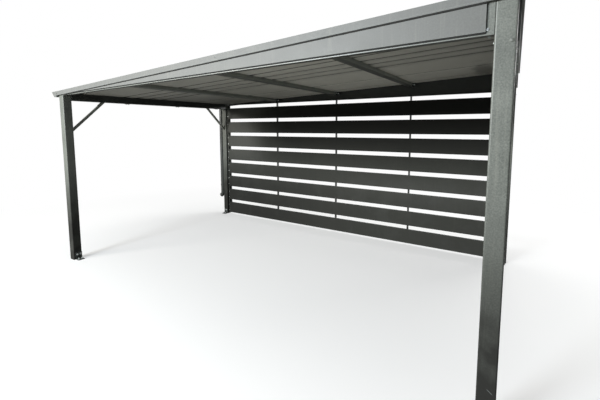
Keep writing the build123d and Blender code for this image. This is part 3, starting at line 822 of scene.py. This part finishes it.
def turned(shape, profile, matrix, sides):
    """Adds a turned solid to a bmesh. The profile is (radius, height) from its foot to its top."""
    skin(shape, [
        [shape.verts.new(matrix @ Vector((a, b, height))) for a, b in circle(radius, sides)]
        for radius, height in profile
    ])


def bent(shape, outline, start, end, across):
    """Adds a prism to a bmesh: the outline's (a, b) points follow two directions, start to end."""
    along_a, along_b = Vector(across[0]), Vector(across[1])
    skin(shape, [
        [shape.verts.new(Vector(point) + along_a * a + along_b * b) for a, b in outline]
        for point in (start, end)
    ])


print("a hexagon:", [tuple(round(v, 2) for v in point) for point in circle(1, 6)])

# %% [markdown]
# ### Bolts
# Three kinds hold the frame: hexagon heads on washers, anchors that stand out of the ground with a
# nut, and coach bolts with a round head. The small chamfers are drawn, as they catch the light.

# %% Bolts
THREADS, THREAD_PITCH = 5, 0.0018    # ridges that show above a nut; the real pitch is 1.75 mm


def hex_bolt(shape, place, normal, across=0.0095, high=0.0065, washer=0.012, spin=0.3):
    """Washer and hexagon head; across is half its width over the corners."""
    matrix = stood_on(place, normal, spin)
    turned(shape, [(washer, 0), (washer, 0.0014), (washer - 0.0006, 0.002)], matrix, 24)
    head = [(across, 0.002), (across, high - 0.0012), (across * 0.97, high - 0.0006), (across * 0.84, high)]
    turned(shape, head, matrix, 6)
    turned(shape, [(across * 0.8, high), (across * 0.78, high + 0.0003)], matrix, 24)


def anchor(shape, place, normal, spin=0.3):
    """Washer, hexagon nut and the end of the threaded rod, drawn with a coarse thread."""
    matrix = stood_on(place, normal, spin)
    turned(shape, [(0.0125, 0), (0.0125, 0.002), (0.012, 0.0025)], matrix, 28)
    turned(shape, [(0.0094, 0.0025), (0.0104, 0.0035), (0.0104, 0.0115), (0.0094, 0.0125)], matrix, 6)
    thread = [(0.006, 0.0125)]
    for up in [turn * THREAD_PITCH for turn in range(THREADS)]:
        thread += [(0.0052, 0.0134 + up), (0.006, 0.0143 + up)]
    turned(shape, thread + [(0.005, 0.0226)], matrix, 16)


def dome_bolt(shape, place, normal, radius=0.0115, high=0.0055):
    """Round head of a coach bolt, a quarter of an ellipse turned round its axis."""
    quarter = [(radius * cos(pi / 2 * k / 7), high * sin(pi / 2 * k / 7)) for k in range(7)]
    turned(shape, quarter + [(radius * 0.1, high)], stood_on(place, normal), 28)


print("threads:", THREADS, "ridges,", THREAD_PITCH * 1000, "mm apart")

# %% [markdown]
# ### Screws
# Roof and wall sheets take self-drilling screws, an 8 mm hexagon with a flange on a sealing washer.
# Trims and board ends take flat pan heads, which stand only 2.4 mm proud.


# %% Screws
def sheet_screw(shape, place, normal, spin=0.0):
    """Self-drilling screw: sealing washer, flange and an 8 mm hexagon."""
    matrix = stood_on(place, normal, spin)
    turned(shape, [(0.0078, 0), (0.0078, 0.0016), (0.0072, 0.0024), (0.0056, 0.0026)], matrix, 20)
    turned(shape, [(0.0046, 0.0026), (0.0046, 0.0054), (0.004, 0.006)], matrix, 6)


def pan_screw(shape, place, normal):
    """Low pan head with its washer rim, for trims and board ends."""
    profile = [(0.0062, 0), (0.0062, 0.0005), (0.0046, 0.0009), (0.0042, 0.0017), (0.0028, 0.0024)]
    turned(shape, profile, stood_on(place, normal), 18)


trial = bmesh.new()
sheet_screw(trial, (0, 0, 0), (0, 0, 1))
print("a sheet screw has", len(trial.faces), "faces")
trial.free()

# %% [markdown]
# ### From a bmesh to a piece
# A bmesh is only a draft. It becomes a mesh with outward normals, smooth where it is round and crisp
# at its edges, then an object with a finish, which rides with the carport's one body.

# %% From a bmesh to a piece
chance = random.Random(11)   # one seeded source of chance, so that every run gives the same scene
added = []
SHARP = 32                   # degrees; edges sharper than this stay crisp


def piece(name, shape, material):
    """Turns a bmesh into a piece that rides with the carport."""
    bmesh.ops.recalc_face_normals(shape, faces=shape.faces)
    mesh = bpy.data.meshes.new(name)
    shape.to_mesh(mesh)
    shape.free()
    for face in mesh.polygons:
        face.use_smooth = True
    mesh.set_sharp_from_angle(angle=radians(SHARP))
    mesh.materials.append(material)
    made = bpy.data.objects.new(name, mesh)
    bpy.context.scene.collection.objects.link(made)
    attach(made, "root")
    added.append(made)
    mesh.calc_loop_triangles()
    print("piece:", name, len(mesh.loop_triangles), "triangles")


print("edges sharper than", SHARP, "degrees stay crisp")

# %% [markdown]
# ### Where the frame is
# A fastener must sit on its surface, so the planes that carry them are written down once, and the two
# slopes as functions of X.

# %% Where the frame is
# Metres, the same frame as the nodes: the outer faces of the posts, then the inner ones
LEFT, RIGHT, FRONT, BACK = -2.375, 2.475, -1.475, 1.475
POST = 0.1
INNER_LEFT, INNER_RIGHT, INNER_BACK, INNER_FRONT = LEFT + POST, RIGHT - POST, BACK - POST, FRONT + POST
LEFT_LOW, RIGHT_LOW, BACK_LOW = 2.065, 2.155, 2.14    # undersides of three beams
BAY = (INNER_RIGHT - INNER_LEFT) / 4
RAFTERS = [INNER_LEFT + BAY * k for k in (1, 2, 3)]
SLOPE_UP = Vector((-FALL, 0, 1)).normalized()


def roof_at(x):
    """Height of the roof sheets' underside."""
    return 2.149 + FALL * (x - LEFT)


def front_low_at(x):
    """Height of the front beam's underside, which tapers."""
    return 2.121 + 0.0145 * (x - INNER_LEFT)


print("rafters at:", [round(x, 3) for x in RAFTERS])

# %% [markdown]
# ## Feet
# Each post stands on an angle bracket. Two anchors hold its floor leg, with the end of the threaded
# rod above the nut, and two bolts hold its upright leg to the post. A screw thread would be a spiral,
# but ridges turned round the rod look the same here. Every nut is spun a little differently, because
# nobody lines nuts up.

# %% Anchors and bolts of the feet
feet = bmesh.new()
FOOT_IN = 0.06                    # middle of a front foot, from the post's outer face
APART = (-0.02, 0.02)             # the two holes of a leg
ANCHOR_OUT, LEG_THICK, BOLT_UP = 0.042, 0.006, 0.0648
for x, way in ((INNER_LEFT, 1), (INNER_RIGHT, -1)):
    for y in [FRONT + FOOT_IN + offset for offset in APART]:
        anchor(feet, (x + way * ANCHOR_OUT, y, LEG_THICK), (0, 0, 1), chance.uniform(0, 1))
        hex_bolt(feet, (x + way * LEG_THICK, y, BOLT_UP), (way, 0, 0), spin=chance.uniform(0, 1))
for middle in (LEFT + POST / 2, RIGHT - POST / 2):
    for x in [middle + offset for offset in APART]:
        anchor(feet, (x, INNER_BACK - ANCHOR_OUT, LEG_THICK), (0, 0, 1), chance.uniform(0, 1))
        hex_bolt(feet, (x, INNER_BACK - LEG_THICK, BOLT_UP), (0, -1, 0), spin=chance.uniform(0, 1))
piece("foot_bolts", feet, zinc)

# %% [markdown]
# ## Bolts between beams and posts
# A beam ends in a plate that is bolted through the post, so that a bolt head shows on each side and
# one from below. The one in the outer face of each right-hand post is a coach bolt, with a smooth
# dome that nothing catches on, and it was coated together with the post.

# %% Frame bolts
SMALL = {"across": 0.006, "high": 0.005, "washer": 0.0075}
frame_bolts = bmesh.new()
for y, low in ((FRONT + POST / 2, front_low_at(INNER_RIGHT)), (BACK - POST / 2, BACK_LOW)):
    hex_bolt(frame_bolts, (INNER_RIGHT, y, RIGHT_LOW - 0.001), (-1, 0, 0), **SMALL)
    hex_bolt(frame_bolts, (RIGHT, y, 2.1), (1, 0, 0), **SMALL)
    below = (INNER_RIGHT - 0.024, y - 0.005, low)
    hex_bolt(frame_bolts, below, (0, 0, -1), across=0.007, high=0.006, washer=0.009)
piece("frame_bolts", frame_bolts, zinc)
domes = bmesh.new()
for y, way in ((FRONT, -1), (BACK, 1)):
    dome_bolt(domes, (RIGHT - 0.02, y, 2.151), (0, way, 0))
piece("post_dome_bolts", domes, powder_coat)

# %% [markdown]
# ## Rafter cleats
# A rafter meets the front and back beams at an angle cleat, 45 mm wide and 4 mm thick, bolted once to
# the beam and once to the rafter's side. From below only the bright heads catch the eye. The cleat is
# an L drawn up to the roof sheet, and it starts where the beam's lower edge or the rafter starts.

# %% Cleats and their bolts
CLEAT_THICK, CLEAT_LEG, RAFTER_HALF, RAFTER_HIGH = 0.004, 0.045, 0.04, 0.06
ANGLE = [
    (0, 0), (CLEAT_LEG, 0), (CLEAT_LEG, CLEAT_THICK),
    (CLEAT_THICK, CLEAT_THICK), (CLEAT_THICK, CLEAT_LEG), (0, CLEAT_LEG),
]
cleats, cleat_bolts = bmesh.new(), bmesh.new()
for x in RAFTERS:
    side, top = x + RAFTER_HALF, roof_at(x)
    for end, way, low in ((BACK - POST / 2, -1, BACK_LOW), (FRONT + POST / 2, 1, front_low_at(x))):
        foot = Vector((side, end, max(low + CLEAT_THICK, top - RAFTER_HIGH)))
        bent(cleats, ANGLE, foot, Vector((side, end, top + 0.001)), ((1, 0, 0), (0, way, 0)))
        on_beam = (side + 0.022, end + way * CLEAT_THICK, top - 0.024)
        dome_bolt(cleat_bolts, on_beam, (0, way, 0), 0.012, 0.009)
        on_rafter = (side + CLEAT_THICK, end + way * 0.028, top - 0.021)
        hex_bolt(cleat_bolts, on_rafter, (1, 0, 0), across=0.0065, high=0.006, washer=0.009)
# The cleats take the darker copy of the powder: painted shade
piece("rafter_cleats", cleats, shaded_powder_coat)
piece("cleat_bolts", cleat_bolts, zinc)

# %% [markdown]
# ## Gutter
# Three brackets under the left beam carry the gutter, each held by two small bolts from below. The
# outer edge of a real gutter is rolled over a wire so that it is stiff and cuts nobody. A thin tube
# along that edge gives the roll without touching the frame's own shape.

# %% Bracket bolts and the rolled lip
BRACKETS, BRACKET_SHARE, BRACKET_FOOT = (1, 2, 3), 0.304, 0.004
drain_bolts = bmesh.new()
for number in BRACKETS:
    y = FRONT + number * BRACKET_SHARE * (BACK - FRONT)
    for offset in (-0.018, 0.018):
        below = (LEFT + 0.014, y + offset, LEFT_LOW - BRACKET_FOOT)
        hex_bolt(drain_bolts, below, (0, 0, -1), across=0.0065, high=0.0062, washer=0.0085)
piece("bracket_bolts", drain_bolts, zinc)

LIP_X, LIP_Y, LIP_RADIUS = -2.4935, 1.4975, 0.0045
lip_z = roof_at(-2.5) + 0.023
roll = bmesh.new()
bent(roll, circle(LIP_RADIUS, 12), (LIP_X, -LIP_Y, lip_z), (LIP_X, LIP_Y, lip_z), ((1, 0, 0), (0, 0, 1)))
piece("gutter_rolled_lip", roll, coil_coat)

# %% [markdown]
# ## Roof screws
# Roof sheet is screwed through its flat pans into the beams and rafters below, with self-drilling
# screws whose rubber-faced washers keep the rain out. The rows are straight because a string is
# stretched for them, and each screw misses the string by some millimetres.

# %% Roof screws
PANS = (0.105, 0.24, 0.3085, 0.376, 0.445, 0.56, 0.66, 0.765, 0.89)   # shares of the roof's depth
SHEET_THICK, OFF_STRING = 0.0015, 0.006
roof_screws = bmesh.new()
for share in PANS:
    y = FRONT + share * (BACK - FRONT)
    for row in [LEFT + 0.05] + RAFTERS + [RIGHT - 0.03]:
        x = row + chance.uniform(-OFF_STRING, OFF_STRING)
        top = Vector((x, y, roof_at(x))) + SLOPE_UP * SHEET_THICK
        sheet_screw(roof_screws, top, SLOPE_UP, chance.uniform(0, 1))
piece("roof_screws", roof_screws, zinc)

# %% [markdown]
# ## Trim
# The trim round the roof is folded in lengths that a person can carry. Along the front two lengths
# meet right of the middle: one laps over the other by 40 mm, with a screw through both. Flat-headed
# screws hold the trim's top flange down, and hexagon ones hold the facing of the right-hand side.

# %% Trim screws
trim_screws = bmesh.new()
for x in [-2.1 + 0.6 * k for k in range(8)]:
    for y in (FRONT + 0.022, BACK - 0.022):
        on_flange = Vector((x, y, roof_at(x) + 0.026)) + SLOPE_UP * 0.002
        pan_screw(trim_screws, on_flange, SLOPE_UP)
flange_x = RIGHT - 0.035
for y in [-1.15 + 0.575 * k for k in range(5)]:
    pan_screw(trim_screws, Vector((flange_x, y, roof_at(flange_x) + 0.028)), SLOPE_UP)
    sheet_screw(trim_screws, (RIGHT, y, RIGHT_LOW + 0.008), (1, 0, 0))
piece("trim_screws", trim_screws, zinc)

# %% The joint of the two lengths
JOINT_X, LAP_LONG, LAP_HIGH, TRIM_TOP = 0.419, 0.04, 0.0415, 0.027
LAP_FROM, LAP_TO = 0.0218, 0.0224    # metres in front of the posts: the lap is 0.6 mm thick
lap = [(LAP_FROM, 0.0), (LAP_TO, 0.0), (LAP_TO, -LAP_HIGH), (LAP_FROM, -LAP_HIGH)]
laps, joint_screws = bmesh.new(), bmesh.new()
for y, way in ((FRONT, -1), (BACK, 1)):
    ends = [Vector((x, y, roof_at(x) + TRIM_TOP)) for x in (JOINT_X - LAP_LONG, JOINT_X)]
    bent(laps, lap, ends[0], ends[1], ((0, way, 0), (0, 0, 1)))
    through_both = (JOINT_X - 0.014, y + way * LAP_TO, roof_at(JOINT_X) + 0.003)
    pan_screw(joint_screws, through_both, (0, way, 0))
piece("trim_laps", laps, coil_coat)
piece("trim_joint_screws", joint_screws, drain_coat)

# %% [markdown]
# ## Painted shadow lines
# Under the trim's return a black strip is painted shadow: it draws the black line of shade along the
# front. A black bead below the facing is painted shadow along that joint. Both are outlines drawn
# along the slope of the roof or of the beam, squeezed out a little where they are free.

# %% Painted shadow strip under the trim
STRIP_DOWN = 0.026 + 0.002 - 0.052    # the return's upper side, from the roof sheet's underside
squeezed = [
    (0.012, -0.0065), (0.0135, -0.008), (0.018, -0.0075),
    (0.0195, -0.005), (0.0195, -0.0005), (0.012, -0.0005),
]
# Painted shadow: a black strip for the line of shade under the trim
strip = bmesh.new()
ends = [Vector((x, FRONT, roof_at(x) + STRIP_DOWN)) for x in (-2.235, 2.335)]
bent(strip, squeezed, ends[0], ends[1], ((0, -1, 0), (0, 0, 1)))
piece("trim_painted_shadow_strip", strip, shadow_black)

# %% Painted shadow bead under the facing
bead = [(0.0, 0.0), (0.0065, 0.0), (0.0055, -0.004), (0.003, -0.0075), (0.0, -0.009)]
# Painted shadow: a black bead for the shade at the joint below the facing
shadow_bead = bmesh.new()
ends = [Vector((x, FRONT, front_low_at(x) + 0.016)) for x in (-2.236, 2.336)]
bent(shadow_bead, bead, ends[0], ends[1], ((0, -1, 0), (0, 0, 1)))
piece("facing_painted_shadow_bead", shadow_bead, shadow_black)

# %% [markdown]
# ## Board screws
# Every board is held by two screws at each end, and by two on each upright, driven from behind. All
# of them go into one mesh: that is lighter for Blender than 80 objects, and they never move.

# %% Board screws
BOARDS, BOARDS_FROM, SCREW_UP = 8, 0.023, (0.045, 0.16)
PITCH = (BACK_LOW - BOARDS_FROM) / BOARDS
board_screws = bmesh.new()
for number in range(BOARDS):
    for z in [BOARDS_FROM + number * PITCH + up for up in SCREW_UP]:
        for x in (INNER_LEFT + 0.017, INNER_RIGHT - 0.017):
            pan_screw(board_screws, (x, BACK - 0.063, z), (0, -1, 0))
        for x in RAFTERS:
            sheet_screw(board_screws, (x + 0.018, BACK, z), (0, 1, 0), chance.uniform(0, 1))
piece("board_screws", board_screws, zinc)

# %% [markdown]
# ## Facing screws
# The facing is hooked over the beam and needs only one screw in each lower corner, beside the posts.

# %% Facing screws
corner_screws = bmesh.new()
for x, z in ((2.3445, 2.217), (-2.252, 2.139)):
    sheet_screw(corner_screws, (x, FRONT, z), (0, -1, 0))
piece("facing_corner_screws", corner_screws, zinc)

# %% [markdown]
# ## Welds
# A brace is cut at a slant and welded all round to the post and to the beam. A weld bead is a row of
# frozen puddles, each a few millimetres on from the last, so its thickness ripples. A curve with a
# bevel would be smooth; rings of points of changing size give the ripple, joined into one closed tube.


# %% Weld beads
RING, PUDDLE = 7, 0.003      # points round the bead, and metres from ring to ring


def weld_bead(shape, corners, radius):
    """Rippled bead along a closed line of corners."""
    path = []
    for a, b in zip(corners, corners[1:] + corners[:1]):
        count = max(2, round((b - a).length / PUDDLE))
        path += [a.lerp(b, k / count) for k in range(count)]
    rings = []
    for k, point in enumerate(path):
        along = (path[(k + 1) % len(path)] - path[k - 1]).normalized()
        side = along.orthogonal().normalized()
        other = along.cross(side)
        size = radius * (1 + 0.16 * cos(k * 2.1) + chance.uniform(-0.08, 0.08))
        rings.append([shape.verts.new(point + side * a + other * b) for a, b in circle(size, RING)])
    for low, high in zip(rings, rings[1:] + rings[:1]):
        # The rings turn at the corners, so each one starts at the point nearest to the last one's start
        shift = min(range(RING), key=lambda n: (high[n].co - low[0].co).length)
        high = high[shift:] + high[:shift]
        for k in range(RING):
            n = (k + 1) % RING
            shape.faces.new((low[k], low[n], high[n], high[k]))


RUN, RISE, HALF, BEAD = 0.42, 0.385, 0.015, 0.0028   # of a brace: reach, drop, half its width; bead
slant = (RUN**2 + RISE**2) ** 0.5
half_up, half_out = HALF * slant / RUN, HALF * slant / RISE
welds = bmesh.new()
for x, low in ((LEFT + POST / 2, LEFT_LOW), (RIGHT - 0.025, RIGHT_LOW)):
    for y, way in ((INNER_FRONT, 1), (INNER_BACK, -1)):
        for ends_at in ("post", "beam"):
            ring = []
            for side, along in ((-1, -1), (1, -1), (1, 1), (-1, 1)):
                if ends_at == "post":
                    ring.append(Vector((x + side * HALF, y, low - RISE + along * half_up)))
                else:
                    ring.append(Vector((x + side * HALF, y + way * (RUN + along * half_out), low)))
            weld_bead(welds, ring, BEAD)
# The welds take the darker copy of the powder: painted shade
piece("brace_welds", welds, shaded_powder_coat)
print("pieces:", len(added), "triangles:", sum(len(made.data.loop_triangles) for made in added))
